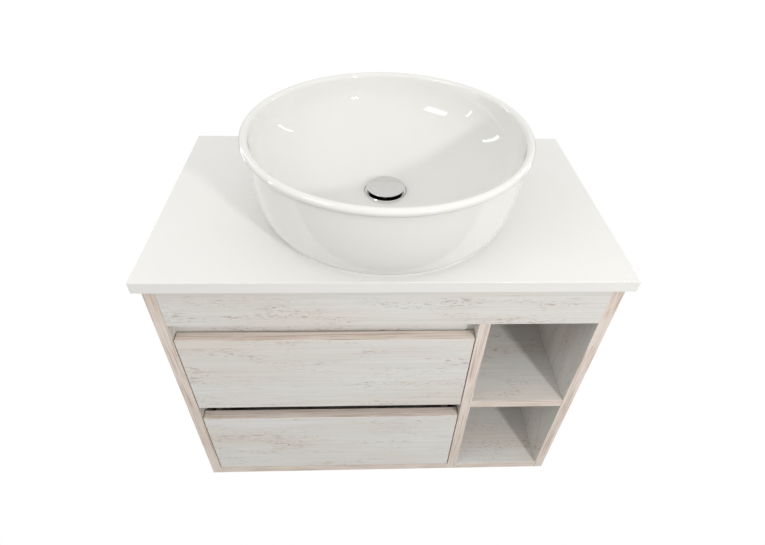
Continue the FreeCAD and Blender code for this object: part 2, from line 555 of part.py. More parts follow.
# ---- the whole vanity ----------------------------------------------------------------------------
def make_all():
    nodes = {}
    for maker in (make_basin, make_worktop, make_waste, make_plug, make_trap, make_carcass,
                  make_edge_bands, make_cam_fittings, make_hangers):
        nodes.update(maker())
    brackets, screws = make_worktop_brackets()
    pins, bumpers, stops, floor_screws = make_small_fittings()
    screws += floor_screws
    cabinet_members = []
    for name, top in (("upper", APRON_Z - FINGER_GAP), ("lower", APRON_Z - MODULE - FINGER_GAP)):
        boards, members, cabinet_screws = make_drawer(name, top)
        nodes.update(boards)
        cabinet_members += members
        screws += cabinet_screws
    fittings = blanks(screws) + pins + nodes["cam_locks"].Solids + nodes["cam_bolts"].Solids
    for name in ("side_panel_left", "side_panel_right", "bottom_panel", "divider", "apron", "niche_shelf",
                 "hanging_rail", "lower_rear_rail", "worktop"):
        nodes[name] = nodes[name].cut(fittings)
    nodes["worktop_brackets"] = Part.makeCompound(brackets)
    nodes["fixing_screws"] = finished(screws)
    nodes["shelf_pins"] = Part.makeCompound(pins)
    nodes["drawer_bumpers"] = Part.makeCompound(bumpers)
    nodes["stop_blocks"] = Part.makeCompound(stops)
    nodes["runner_cabinet_members"] = Part.makeCompound(cabinet_members)
    return nodes


def main():
    os.makedirs("parts", exist_ok=True)
    nodes = make_all()
    for name, shape in sorted(nodes.items()):
        shape.exportStep("parts/" + name + ".step")
        size = shape.BoundBox
        print(name, len(shape.Solids), "valid" if shape.isValid() else "INVALID", round(shape.Volume),
              [round(v, 1) for v in (size.XMin, size.XMax, size.YMin, size.YMax, size.ZMin, size.ZMax)])
    print(len(nodes), "nodes")


main()
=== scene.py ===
import json
import math

import bmesh
import bpy
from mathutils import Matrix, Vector


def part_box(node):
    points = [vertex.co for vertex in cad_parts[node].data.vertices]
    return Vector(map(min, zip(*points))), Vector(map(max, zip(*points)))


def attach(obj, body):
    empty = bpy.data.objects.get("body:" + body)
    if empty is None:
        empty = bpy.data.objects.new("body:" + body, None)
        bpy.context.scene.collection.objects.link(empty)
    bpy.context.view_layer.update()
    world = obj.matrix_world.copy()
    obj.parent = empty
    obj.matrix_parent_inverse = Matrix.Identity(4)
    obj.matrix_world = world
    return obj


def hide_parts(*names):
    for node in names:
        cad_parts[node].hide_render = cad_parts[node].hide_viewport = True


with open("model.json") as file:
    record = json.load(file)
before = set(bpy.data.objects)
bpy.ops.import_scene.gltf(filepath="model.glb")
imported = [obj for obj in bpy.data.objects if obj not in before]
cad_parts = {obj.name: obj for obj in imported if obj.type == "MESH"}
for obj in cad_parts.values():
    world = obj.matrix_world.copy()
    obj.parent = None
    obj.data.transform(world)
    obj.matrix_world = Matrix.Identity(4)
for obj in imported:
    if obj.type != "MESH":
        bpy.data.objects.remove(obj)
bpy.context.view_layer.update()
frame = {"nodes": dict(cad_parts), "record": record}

bl_info = {
    "name": "Vessel basin vanity",
    "version": (1, 0, 0),
    "blender": (4, 5, 0),
    "location": "3D View > Sidebar > Vanity",
    "description": "Finishes and fine pieces of a wall-hung vanity with a vessel basin",
    "category": "Object",
}

NODES = frame["nodes"]
MM = 0.001

# ---- places read from the frame ------------------------------------------------------------------
WORKTOP_LOW, WORKTOP_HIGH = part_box("worktop")
BASIN_LOW, BASIN_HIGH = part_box("basin")
AXIS = Vector(((BASIN_LOW.x + BASIN_HIGH.x) / 2, (BASIN_LOW.y + BASIN_HIGH.y) / 2, WORKTOP_HIGH.z))
BASIN_RADIUS = (BASIN_HIGH.x - BASIN_LOW.x) / 2
BASIN_HEIGHT = BASIN_HIGH.z - WORKTOP_HIGH.z
FOOT_HEIGHT = BASIN_LOW.z - WORKTOP_HIGH.z
CAP_LOW, CAP_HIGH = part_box("plug_cap")
FLANGE_LOW, FLANGE_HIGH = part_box("waste_body")
PANEL_LOW, PANEL_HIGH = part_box("side_panel_left")
DIVIDER_LOW, DIVIDER_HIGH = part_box("divider")
CAB_LOW_Z = PANEL_LOW.z

# ---- the basin's section: radii from its axis, heights above the worktop --------------------------
SKIN_STEPS, CURL_STEPS, ROLL_STEPS, BOWL_STEPS, UNDER_STEPS = 24, 8, 26, 40, 12
SKIN_DROP = 14 * MM  # from the middle of the rolled rim down to the top of the outer wall
SHELL = 9 * MM
RECESS_GAP = 0.5 * MM  # round the waste's flange
SEAT_HEIGHT = 18 * MM
DRAIN_RADIUS = 22.5 * MM
UNDER_START, UNDER_END = 0.36, 1.075  # the hidden underside's share of the bowl's quarter turn, in radians
HOLLOW = ((199 * MM, 46 * MM), (196 * MM, 26 * MM), (188 * MM, 9 * MM), (178 * MM, FOOT_HEIGHT))

# ---- the runners' balls: rows as (sideways, up and down) from a member's middle -------------------
BALL_RADIUS = 1.6 * MM
BALL_END_GAP = 12 * MM
BALL_ROWS = ((0.7 * MM, 19.65 * MM), (-1.1 * MM, 14.9 * MM))

# ---- the fixed lights: name, place, target, width, height, watts ----------------------------------
KEY_AIM, KEY_WIDTH, KEY_HEIGHT = (0.0, -0.25, 0.0), 0.15, 0.09
STRIP_AIM = (0.0, -0.2, 0.17)
LIGHTS = (
    ("window", (-1.18, -0.99, 1.38), (0.10, -0.06, 0.15), 0.60, 0.40, 3.2),
    ("strip_left", (-1.6, -0.35, 0.30), STRIP_AIM, 0.06, 1.10, 1.0),
    ("strip_back_left", (-1.35, 0.75, 0.35), STRIP_AIM, 0.10, 1.80, 3.0),
    ("strip_back_right", (1.44, 0.43, 0.35), STRIP_AIM, 0.05, 1.60, 1.7),
)


# ---- settings ------------------------------------------------------------------------------------
class BasinSettings(bpy.types.PropertyGroup):
    """Sizes of the basin and its waste that the frame doesn't hold."""

    lip_radius: bpy.props.FloatProperty(
        name="Rim radius", description="Radius of the rolled rim's section",
        default=6.5 * MM, min=0.002, unit="LENGTH")
    lip_fillet: bpy.props.FloatProperty(
        name="Rim fillet", description="Radius of the hollow curve under the rim",
        default=5.0 * MM, min=0.001, unit="LENGTH")
    wall_radius: bpy.props.FloatProperty(
        name="Wall radius", description="Outer wall under the rim, from the basin's axis",
        default=223 * MM, min=0.05, unit="LENGTH")
    foot_radius: bpy.props.FloatProperty(
        name="Foot radius", description="Outer edge of the foot, from the basin's axis",
        default=190 * MM, min=0.05, unit="LENGTH")
    floor_height: bpy.props.FloatProperty(
        name="Floor height", description="Bowl floor above the worktop, at the drain",
        default=20 * MM, min=0.0, unit="LENGTH")
    fullness: bpy.props.FloatProperty(
        name="Fullness", description="Superellipse exponent of the bowl and its outer wall",
        default=2.4, min=1.5, max=6.0)
    segments: bpy.props.IntProperty(
        name="Segments", description="Steps round the basin", default=192, min=24, max=360)


class FinishSettings(bpy.types.PropertyGroup):
    """Colours of the finishes, as linear values."""

    glaze: bpy.props.FloatVectorProperty(
        name="Glaze", description="Colour of the basin's glaze", subtype="COLOR",
        size=3, min=0, max=1, default=(0.765, 0.76, 0.735))
    worktop: bpy.props.FloatVectorProperty(
        name="Worktop", description="Colour of the worktop", subtype="COLOR",
        size=3, min=0, max=1, default=(0.78, 0.775, 0.755))
    board: bpy.props.FloatVectorProperty(
        name="Limed board", description="Base colour of the limed facing", subtype="COLOR",
        size=3, min=0, max=1, default=(0.715, 0.71, 0.69))
    band: bpy.props.FloatVectorProperty(
        name="Edge band", description="Base colour of the edge bands", subtype="COLOR",
        size=3, min=0, max=1, default=(0.74, 0.66, 0.60))
    fleck: bpy.props.FloatVectorProperty(
        name="Fleck", description="Colour of the dark pores", subtype="COLOR",
        size=3, min=0, max=1, default=(0.30, 0.20, 0.14))


class StageSettings(bpy.types.PropertyGroup):
    """The camera, the floor and the lights."""

    camera_place: bpy.props.FloatVectorProperty(
        name="Camera place", description="Where the camera stands", size=3, subtype="XYZ",
        unit="LENGTH", default=(-0.0415, -0.9841, 0.5761))
    camera_turn: bpy.props.FloatVectorProperty(
        name="Camera turn", description="The camera's rotation", size=3, subtype="EULER",
        default=(0.8367, -0.0270, -0.0336))
    lens: bpy.props.FloatProperty(
        name="Lens", description="Focal length on a 36 mm sensor, in millimetres",
        default=23.97, min=5.0, max=200.0)
    floor_drop: bpy.props.FloatProperty(
        name="Floor drop", description="Floor below the cabinet", default=0.32, min=0.0, unit="LENGTH")
    sky: bpy.props.FloatProperty(
        name="Sky", description="Strength of the light from overhead", default=0.93, min=0.0)
    horizon: bpy.props.FloatProperty(
        name="Horizon", description="Strength of the light from the sides", default=0.80, min=0.0)
    ground: bpy.props.FloatProperty(
        name="Ground", description="Strength of the light from the floor", default=0.46, min=0.0)
    key: bpy.props.FloatProperty(
        name="Key", description="Power of the key light, in watts", default=13.0, min=0.0)
    key_place: bpy.props.FloatVectorProperty(
        name="Key place", description="Where the key light stands", size=3, subtype="XYZ",
        unit="LENGTH", default=(0.88, -1.74, 0.89))


class FittingSettings(bpy.types.PropertyGroup):
    """Sizes of the small fittings that repeat."""

    head_radius: bpy.props.FloatProperty(
        name="Screw head", description="Radius of a countersunk head",
        default=3.6 * MM, min=0.001, unit="LENGTH")
    shank_radius: bpy.props.FloatProperty(
        name="Screw shank", description="Radius of a screw's shank",
        default=1.8 * MM, min=0.0005, unit="LENGTH")
    cam_radius: bpy.props.FloatProperty(
        name="Cam", description="Radius of a cam lock", default=7.5 * MM, min=0.002, unit="LENGTH")
    ball_gap: bpy.props.FloatProperty(
        name="Ball spacing", description="Distance between a runner's balls",
        default=8.0 * MM, min=0.003, unit="LENGTH")


# ---- shader groups -------------------------------------------------------------------------------
def group(name, inputs, outputs):
    """A shader node group with named sockets: inputs are (name, kind, default), outputs (name, kind)."""
    tree = bpy.data.node_groups.new(name, "ShaderNodeTree")
    for label, kind, default in inputs:
        socket = tree.interface.new_socket(label, in_out="INPUT", socket_type=kind)
        if default is not None:
            socket.default_value = default
    for label, kind in outputs:
        tree.interface.new_socket(label, in_out="OUTPUT", socket_type=kind)
    return tree, tree.nodes.new("NodeGroupInput"), tree.nodes.new("NodeGroupOutput")


def node(tree, kind, links=(), **settings):
    """A node with its settings and its inputs: a link where the value is a socket, else a value."""
    made = tree.nodes.new(kind)
    for key, value in settings.items():
        setattr(made, key, value)
    for key, value in dict(links).items():
        if isinstance(value, bpy.types.NodeSocket):
            tree.links.new(value, made.inputs[key])
        else:
            made.inputs[key].default_value = value
    return made


def math_node(tree, operation, first, second=0.0, clamp=False):
    return node(tree, "ShaderNodeMath", {0: first, 1: second}, operation=operation, use_clamp=clamp).outputs[0]


def mix_colour(tree, factor, first, second, blend="MIX"):
    made = tree.nodes.new("ShaderNodeMix")
    made.data_type = "RGBA"
    made.blend_type = blend
    for index, value in ((0, factor), (6, first), (7, second)):
        if isinstance(value, bpy.types.NodeSocket):
            tree.links.new(value, made.inputs[index])
        else:
            made.inputs[index].default_value = value
    return made.outputs[2]


def stretched(tree, vector, scale):
    return node(tree, "ShaderNodeMapping", {"Vector": vector, "Scale": scale}).outputs[0]


def noise(tree, vector, scale, detail=3.0, roughness=0.5, distortion=0.0):
    sockets = {"Vector": vector, "Scale": scale, "Detail": detail,
               "Roughness": roughness, "Distortion": distortion}
    return node(tree, "ShaderNodeTexNoise", sockets).outputs[0]


def band_pass(tree, value, low, high):
    """0 below low, 1 above high."""
    sockets = {"Value": value, "From Min": low, "From Max": high, "To Min": 0.0, "To Max": 1.0}
    return node(tree, "ShaderNodeMapRange", sockets, clamp=True).outputs[0]


def grain_group():
    """Limed wood facing with its grain along X of the vector: colour, roughness and height."""
    tree, given, out = group(
        "limed_grain",
        [("Vector", "NodeSocketVector", None), ("Base", "NodeSocketColor", (0.6, 0.6, 0.55, 1)),
         ("Warm", "NodeSocketColor", (0.6, 0.5, 0.45, 1)), ("Fleck", "NodeSocketColor", (0.2, 0.15, 0.1, 1)),
         ("Streaks", "NodeSocketFloat", 0.3), ("Flecks", "NodeSocketFloat", 0.6),
         ("Roughness", "NodeSocketFloat", 0.42)],
        [("Color", "NodeSocketColor"), ("Roughness", "NodeSocketFloat"), ("Height", "NodeSocketFloat")])
    vector = given.outputs["Vector"]
    tone = band_pass(tree, noise(tree, stretched(tree, vector, (2.0, 9.0, 9.0)), 1.6, 2.0), 0.38, 0.70)
    streak = noise(tree, stretched(tree, vector, (4.0, 230.0, 230.0)), 1.0, 4.0, 0.62, 0.2)
    streak = band_pass(tree, streak, 0.42, 0.74)
    fine = noise(tree, stretched(tree, vector, (40.0, 1100.0, 1100.0)), 1.0, 2.0, 0.6)
    cluster = noise(tree, stretched(tree, vector, (7.0, 34.0, 34.0)), 1.0, 3.0, 0.6, 0.5)
    cluster = band_pass(tree, cluster, 0.48, 0.66)
    dashes = noise(tree, stretched(tree, vector, (85.0, 900.0, 900.0)), 1.0, 1.0, 0.5, 0.1)
    dashes = band_pass(tree, dashes, 0.61, 0.66)
    dots = noise(tree, stretched(tree, vector, (260.0, 800.0, 800.0)), 1.0, 1.0, 0.5, 0.1)
    dots = math_node(tree, "MULTIPLY", band_pass(tree, dots, 0.66, 0.71), 0.9)
    pores = math_node(tree, "MULTIPLY", math_node(tree, "MAXIMUM", dashes, dots), cluster)
    tint = mix_colour(tree, tone, given.outputs["Base"], given.outputs["Warm"])
    depth = math_node(tree, "MULTIPLY", streak, given.outputs["Streaks"])
    tint = mix_colour(tree, depth, tint, given.outputs["Warm"], "MULTIPLY")
    speck = math_node(tree, "MULTIPLY", pores, given.outputs["Flecks"])
    tint = mix_colour(tree, speck, tint, given.outputs["Fleck"])
    shade = math_node(tree, "MULTIPLY_ADD", fine, 0.10)
    shade.node.inputs[2].default_value = 0.95
    shaded = node(tree, "ShaderNodeVectorMath", {0: tint, "Scale": shade}, operation="SCALE").outputs[0]
    rough = math_node(tree, "MULTIPLY_ADD", fine, 0.16)
    tree.links.new(given.outputs["Roughness"], rough.node.inputs[2])
    rough = math_node(tree, "ADD", rough, math_node(tree, "MULTIPLY", pores, 0.2))
    height = math_node(tree, "SUBTRACT", math_node(tree, "MULTIPLY", fine, 0.5),
                       math_node(tree, "ADD", pores, streak))
    tree.links.new(shaded, out.inputs["Color"])
    tree.links.new(rough, out.inputs["Roughness"])
    tree.links.new(height, out.inputs["Height"])
    return tree


def line_group():
    """Thin brown lines along X of the vector, as on a sawn edge: colour and height."""
    tree, given, out = group(
        "edge_lines",
        [("Vector", "NodeSocketVector", None), ("Base", "NodeSocketColor", (0.7, 0.6, 0.5, 1)),
         ("Line", "NodeSocketColor", (0.4, 0.3, 0.2, 1)), ("Strength", "NodeSocketFloat", 0.5)],
        [("Color", "NodeSocketColor"), ("Height", "NodeSocketFloat")])
    vector = given.outputs["Vector"]
    lines = noise(tree, stretched(tree, vector, (9.0, 800.0, 800.0)), 1.0, 1.5, 0.6, 0.1)
    lines = band_pass(tree, lines, 0.47, 0.60)
    broken = band_pass(tree, noise(tree, stretched(tree, vector, (14.0, 70.0, 70.0)), 1.0, 2.0), 0.30, 0.52)
    mask = math_node(tree, "MULTIPLY", lines, broken)
    tint = mix_colour(tree, math_node(tree, "MULTIPLY", mask, given.outputs["Strength"]),
                      given.outputs["Base"], given.outputs["Line"])
    tree.links.new(tint, out.inputs["Color"])
    tree.links.new(math_node(tree, "MULTIPLY", mask, -1.0), out.inputs["Height"])
    return tree


def marks_group():
    """Faint handling marks: a roughness that wanders about a value, and a fine height."""
    tree, given, out = group(
        "handling_marks",
        [("Vector", "NodeSocketVector", None), ("Roughness", "NodeSocketFloat", 0.2),
         ("Spread", "NodeSocketFloat", 0.05), ("Scale", "NodeSocketFloat", 20.0)],
        [("Roughness", "NodeSocketFloat"), ("Height", "NodeSocketFloat"), ("Mask", "NodeSocketFloat")])
    wide = node(tree, "ShaderNodeTexNoise", {"Vector": given.outputs["Vector"], "Scale": given.outputs["Scale"],
                                             "Detail": 4.0, "Roughness": 0.55})
    narrow = noise(tree, given.outputs["Vector"], 900.0, 2.0)
    mask = band_pass(tree, wide.outputs[0], 0.35, 0.70)
    spread = math_node(tree, "MULTIPLY", mask, given.outputs["Spread"])
    rough = math_node(tree, "ADD", spread, given.outputs["Roughness"])
    tree.links.new(rough, out.inputs["Roughness"])
    tree.links.new(narrow, out.inputs["Height"])
    tree.links.new(mask, out.inputs["Mask"])
    return tree


GROUPS = {"limed_grain": grain_group, "edge_lines": line_group, "handling_marks": marks_group}


def shader_group(name):
    return bpy.data.node_groups.get(name) or GROUPS[name]()


# ---- materials -----------------------------------------------------------------------------------
def blank_material(name):
    """A material with its Principled shader and a socket with Object coordinates."""
    material = bpy.data.materials.new(name)
    material.use_nodes = True
    tree = material.node_tree
    shader = tree.nodes["Principled BSDF"]
    coordinates = tree.nodes.new("ShaderNodeTexCoord").outputs["Object"]
    return material, tree, shader, coordinates


def bump(tree, shader, height, distance, strength=1.0):
    made = node(tree, "ShaderNodeBump", {"Height": height, "Distance": distance, "Strength": strength})
    tree.links.new(made.outputs[0], shader.inputs["Normal"])


def rgba(colour):
    return (*colour, 1.0)


def grained(name, base, warm, axis="X", streaks=0.3, flecks=0.6, rough=0.42, relief=0.00008):
    """A limed board whose grain runs along the axis."""
    material, tree, shader, place = blank_material(name)
    turn = {"X": (0, 0, 0), "Y": (0, 0, math.pi / 2), "Z": (0, math.pi / 2, 0)}[axis]
    place = node(tree, "ShaderNodeMapping", {"Vector": place, "Rotation": turn}).outputs[0]
    grain = node(tree, "ShaderNodeGroup", node_tree=shader_group("limed_grain"))
    tree.links.new(place, grain.inputs["Vector"])
    grain.inputs["Base"].default_value = rgba(base)
    grain.inputs["Warm"].default_value = rgba(warm)
    grain.inputs["Fleck"].default_value = rgba(bpy.context.scene.vanity_finish.fleck)
    grain.inputs["Streaks"].default_value = streaks
    grain.inputs["Flecks"].default_value = flecks
    grain.inputs["Roughness"].default_value = rough
    tree.links.new(grain.outputs["Color"], shader.inputs["Base Color"])
    tree.links.new(grain.outputs["Roughness"], shader.inputs["Roughness"])
    bump(tree, shader, grain.outputs["Height"], relief, 0.5)
    return material


def smooth(name, colour, rough, spread=0.05, scale=20.0, relief=0.00001, metal=0.0, coat=0.0, tint=0.04):
    """A plain finish with faint marks: glaze, plastic, rubber or polished metal."""
    material, tree, shader, place = blank_material(name)
    marks = node(tree, "ShaderNodeGroup", node_tree=shader_group("handling_marks"))
    tree.links.new(place, marks.inputs["Vector"])
    marks.inputs["Roughness"].default_value = rough
    marks.inputs["Spread"].default_value = spread
    marks.inputs["Scale"].default_value = scale
    darker = tuple(c * (1 - tint) for c in colour)
    colour = mix_colour(tree, marks.outputs["Mask"], rgba(colour), rgba(darker))
    tree.links.new(colour, shader.inputs["Base Color"])
    tree.links.new(marks.outputs["Roughness"], shader.inputs["Roughness"])
    shader.inputs["Metallic"].default_value = metal
    shader.inputs["Coat Weight"].default_value = coat
    shader.inputs["Coat Roughness"].default_value = 0.03
    bump(tree, shader, marks.outputs["Height"], relief, 0.3)
    return material


def brushed(name, colour, rough, axis="Y"):
    """Plated sheet steel with rolling lines along the axis."""
    material, tree, shader, place = blank_material(name)
    scale = {"X": (8, 1500, 1500), "Y": (1500, 8, 1500), "Z": (1500, 1500, 8)}[axis]
    lines = noise(tree, stretched(tree, place, scale), 1.0, 2.0)
    spangle = node(tree, "ShaderNodeTexVoronoi", {"Vector": place, "Scale": 160.0}).outputs["Color"]
    grey = node(tree, "ShaderNodeSeparateColor", {0: spangle}).outputs[0]
    shade = math_node(tree, "MULTIPLY_ADD", grey, 0.12)
    shade.node.inputs[2].default_value = 0.90
    colour = node(tree, "ShaderNodeVectorMath", {0: colour, "Scale": shade}, operation="SCALE").outputs[0]
    tree.links.new(colour, shader.inputs["Base Color"])
    shader.inputs["Metallic"].default_value = 1.0
    wander = math_node(tree, "MULTIPLY_ADD", lines, 0.18)
    wander.node.inputs[2].default_value = rough
    tree.links.new(wander, shader.inputs["Roughness"])
    bump(tree, shader, lines, 0.00002, 0.4)
    return material


def banded(name, base, line):
    """Edge bands: the grain follows each strip, upright on the uprights and level on the rest."""
    material, tree, shader, place = blank_material(name)
    strips = []
    for turn in ((0, 0, 0), (0, math.pi / 2, 0)):
        turned = node(tree, "ShaderNodeMapping", {"Vector": place, "Rotation": turn}).outputs[0]
        sockets = {"Vector": turned, "Base": rgba(base), "Line": rgba(line), "Strength": 0.75}
        strips.append(node(tree, "ShaderNodeGroup", node_tree=shader_group("edge_lines")))
        for key, value in sockets.items():
            if key == "Vector":
                tree.links.new(value, strips[-1].inputs[key])
            else:
                strips[-1].inputs[key].default_value = value
    across = node(tree, "ShaderNodeSeparateXYZ", {0: place}).outputs[0]
    sides = math_node(tree, "GREATER_THAN", math_node(tree, "ABSOLUTE", across), -PANEL_HIGH.x)
    middle = math_node(tree, "SUBTRACT", across, (DIVIDER_LOW.x + DIVIDER_HIGH.x) / 2)
    divider = math_node(tree, "LESS_THAN", math_node(tree, "ABSOLUTE", middle),
                        (DIVIDER_HIGH.x - DIVIDER_LOW.x) / 2)
    upright = math_node(tree, "ADD", sides, divider, clamp=True)
    colour = mix_colour(tree, upright, strips[0].outputs["Color"], strips[1].outputs["Color"])
    tree.links.new(colour, shader.inputs["Base Color"])
    marks = node(tree, "ShaderNodeGroup", node_tree=shader_group("handling_marks"))
    tree.links.new(place, marks.inputs["Vector"])
    marks.inputs["Roughness"].default_value = 0.42
    marks.inputs["Spread"].default_value = 0.12
    tree.links.new(marks.outputs["Roughness"], shader.inputs["Roughness"])
    bump(tree, shader, strips[0].outputs["Height"], 0.00005, 0.5)
    return material


def all_materials():
    finish = bpy.context.scene.vanity_finish
    board = tuple(finish.board)
    warm = (board[0] * 0.97, board[1] * 0.92, board[2] * 0.88)
    band = tuple(finish.band)
    band_line = (band[0] * 0.60, band[1] * 0.48, band[2] * 0.40)
    grey = (0.56, 0.55, 0.53)
    return {
        "board_level": grained("limed_board_level", board, warm, "X", 0.35, 0.85),
        "board_upright": grained("limed_board_upright", board, warm, "Z", 0.35, 0.85),
        "band": banded("edge_band", band, band_line),
        "drawer_board": grained("drawer_board", grey, (0.54, 0.52, 0.50), "Y", 0.2, 0.12, 0.5),
        "worktop": smooth("worktop_white", tuple(finish.worktop), 0.34, 0.10, 9.0, 0.00003, tint=0.015),
        "glaze": smooth("basin_glaze", tuple(finish.glaze), 0.032, 0.025, 14.0, 0.000004, coat=0.6, tint=0.01),
        "chrome": smooth("polished_chrome", (0.70, 0.69, 0.68), 0.04, 0.05, 90.0, 0.000002, metal=1.0),
        "sealant": smooth("sealant", (0.74, 0.735, 0.71), 0.35, 0.1, 60.0),
        "white_plastic": smooth("white_plastic", (0.78, 0.78, 0.76), 0.28, 0.12, 40.0, 0.00002),
        "rubber": smooth("black_rubber", (0.02, 0.02, 0.02), 0.65, 0.2, 60.0, 0.00004),
        "bumper": smooth("soft_bumper", (0.66, 0.65, 0.62), 0.4, 0.1, 60.0),
        "steel": brushed("zinc_plated_steel", (0.62, 0.63, 0.65), 0.24),
        "cast": smooth("cast_zinc", (0.45, 0.46, 0.47), 0.42, 0.16, 200.0, 0.00006, metal=1.0),
    }


SLOT_FINISH = {
    "worktop_white": "worktop", "basin_glaze": "glaze", "sealant_clear": "sealant", "chrome": "chrome",
    "white_plastic": "white_plastic", "black_rubber": "rubber", "spring_steel": "steel",
    "limed_wood": "board_level", "edge_band": "band", "drawer_grey": "drawer_board", "zinc_steel": "steel",
    "zinc_cast": "cast", "soft_bumper": "bumper",
}
UPRIGHT_GRAIN = ("side_panel_left", "side_panel_right", "divider")
MATERIALS = {}


def set_material(target, material):
    target.data.materials.clear()
    target.data.materials.append(material)


# ---- geometry nodes ------------------------------------------------------------------------------
def geometry_tree(name, inputs):
    tree = bpy.data.node_groups.new(name, "GeometryNodeTree")
    tree.interface.new_socket("Geometry", in_out="INPUT", socket_type="NodeSocketGeometry")
    for label, kind, default in inputs:
        socket = tree.interface.new_socket(label, in_out="INPUT", socket_type=kind)
        if default is not None:
            socket.default_value = default
    tree.interface.new_socket("Geometry", in_out="OUTPUT", socket_type="NodeSocketGeometry")
    return tree, tree.nodes.new("NodeGroupInput"), tree.nodes.new("NodeGroupOutput")


def lathe_tree():
    """Turns an outline drawn as (radius, 0, height) about a vertical axis."""
    tree, given, out = geometry_tree("lathe", [
        ("Segments", "NodeSocketInt", 96), ("Axis", "NodeSocketVector", (0, 0, 0)),
        ("Finish", "NodeSocketMaterial", None)])
    point = node(tree, "GeometryNodeInputPosition")
    parts = node(tree, "ShaderNodeSeparateXYZ", {0: point.outputs[0]})
    inward = math_node(tree, "SUBTRACT", parts.outputs[0], 1.0)
    down = math_node(tree, "MULTIPLY", parts.outputs[2], -1.0)
    flat = node(tree, "ShaderNodeCombineXYZ", {0: inward, 1: down})
    placed = node(tree, "GeometryNodeSetPosition",
                  {"Geometry": given.outputs["Geometry"], "Position": flat.outputs[0]})
    outline = node(tree, "GeometryNodeMeshToCurve", {"Mesh": placed.outputs[0]})
    circle = node(tree, "GeometryNodeCurvePrimitiveCircle",
                  {"Resolution": given.outputs["Segments"], "Radius": 1.0})
    swept = node(tree, "GeometryNodeCurveToMesh",
                 {"Curve": circle.outputs[0], "Profile Curve": outline.outputs[0]})
    welded = node(tree, "GeometryNodeMergeByDistance", {"Geometry": swept.outputs[0], "Distance": 0.000005})
    moved = node(tree, "GeometryNodeTransform",
                 {"Geometry": welded.outputs[0], "Translation": given.outputs["Axis"]})
    real = node(tree, "GeometryNodeRealizeInstances", {"Geometry": moved.outputs[0]})
    painted = node(tree, "GeometryNodeSetMaterial",
                   {"Geometry": real.outputs[0], "Material": given.outputs["Finish"]})
    tree.links.new(painted.outputs[0], out.inputs["Geometry"])
    return tree


def grown(name, mesh, tree, values, material, body, replaces=(), sharp=35.0):
    """Runs a geometry tree on a mesh, keeps its result as a plain mesh, and hands it to a body."""
    seed = bpy.data.objects.new(name + "_seed", mesh)
    bpy.context.scene.collection.objects.link(seed)
    modifier = seed.modifiers.new("grow", "NODES")
    modifier.node_group = tree
    values = dict(values, Finish=material)
    for item in tree.interface.items_tree:
        if item.in_out == "INPUT" and item.name in values:
            modifier[item.identifier] = values[item.name]
    graph = bpy.context.evaluated_depsgraph_get()
    result = bpy.data.meshes.new_from_object(seed.evaluated_get(graph))
    bpy.data.objects.remove(seed)
    piece = bpy.data.objects.new(name, result)
    bpy.context.scene.collection.objects.link(piece)
    tidy_normals(result)
    result.shade_smooth()
    result.set_sharp_from_angle(angle=math.radians(sharp))
    result.name = name
    set_material(piece, material)
    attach(piece, body)
    if replaces:
        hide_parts(*replaces)
    return piece


def tidy_normals(mesh):
    shape = bmesh.new()
    shape.from_mesh(mesh)
    bmesh.ops.recalc_face_normals(shape, faces=shape.faces)
    if shape.calc_volume(signed=True) < 0:
        bmesh.ops.reverse_faces(shape, faces=shape.faces)
    shape.to_mesh(mesh)
    shape.free()


def outline_mesh(name, points, closed=True):
    """An outline through (radius, height) points, for the lathe."""
    corners = [(radius, 0, height) for radius, height in points]
    edges = [(i, i + 1) for i in range(len(corners) - 1)]
    if closed:
        edges.append((len(corners) - 1, 0))
    mesh = bpy.data.meshes.new(name)
    mesh.from_pydata(corners, edges, [])
    return mesh


def arc(centre, radius, start, end, steps):
    """Points of an arc, angles in degrees."""
    turns = [math.radians(start + (end - start) * i / steps) for i in range(steps + 1)]
    return [(centre[0] + radius * math.cos(a), centre[1] + radius * math.sin(a)) for a in turns]


def islands(name):
    """The solids of a node: (lowest corner, highest corner, points) of each, from a copy of its mesh."""
    shape = bmesh.new()
    shape.from_mesh(NODES[name].data)
    bmesh.ops.remove_doubles(shape, verts=shape.verts, dist=0.000002)
    left = set(shape.verts)
    found = []
    for first in sorted(shape.verts, key=lambda v: tuple(v.co)):
        if first not in left:
            continue
        left.discard(first)
        pile, points = [first], []
        while pile:
            vert = pile.pop()
            points.append(vert.co.copy())
            for edge in vert.link_edges:
                other = edge.other_vert(vert)
                if other in left:
                    left.discard(other)
                    pile.append(other)
        low = Vector([min(p[i] for p in points) for i in range(3)])
        high = Vector([max(p[i] for p in points) for i in range(3)])
        found.append((low, high, points))
    shape.free()
    return found


def points_mesh(name, places, aims=(), lengths=()):
    """Points with a direction and a length each, for a tree that sets a fitting on every one."""
    mesh = bpy.data.meshes.new(name)
    mesh.from_pydata(places, [], [])
    if aims:
        aim = mesh.attributes.new("aim", "FLOAT_VECTOR", "POINT")
        aim.data.foreach_set("vector", [c for way in aims for c in way])
        length = mesh.attributes.new("length", "FLOAT", "POINT")
        length.data.foreach_set("value", lengths)
    return mesh


def cutter_cross(tree, width, reach, depth):
    """A cross of two bars, as deep below the origin as above it."""
    double = math_node(tree, "MULTIPLY", depth, 2.0)
    bars = tree.nodes.new("GeometryNodeJoinGeometry")
    for first, second in ((reach, width), (width, reach)):
        size = node(tree, "ShaderNodeCombineXYZ", {0: first, 1: second, 2: double}).outputs[0]
        bar = node(tree, "GeometryNodeMeshCube", {"Size": size})
        tree.links.new(bar.outputs[0], bars.inputs[0])
    return bars.outputs[0]


def cut(tree, solid, *cutters):
    made = node(tree, "GeometryNodeMeshBoolean", operation="DIFFERENCE", solver="EXACT")
    tree.links.new(solid, made.inputs[0])
    for cutter in cutters:
        tree.links.new(cutter, made.inputs[1])
    return made.outputs[0]


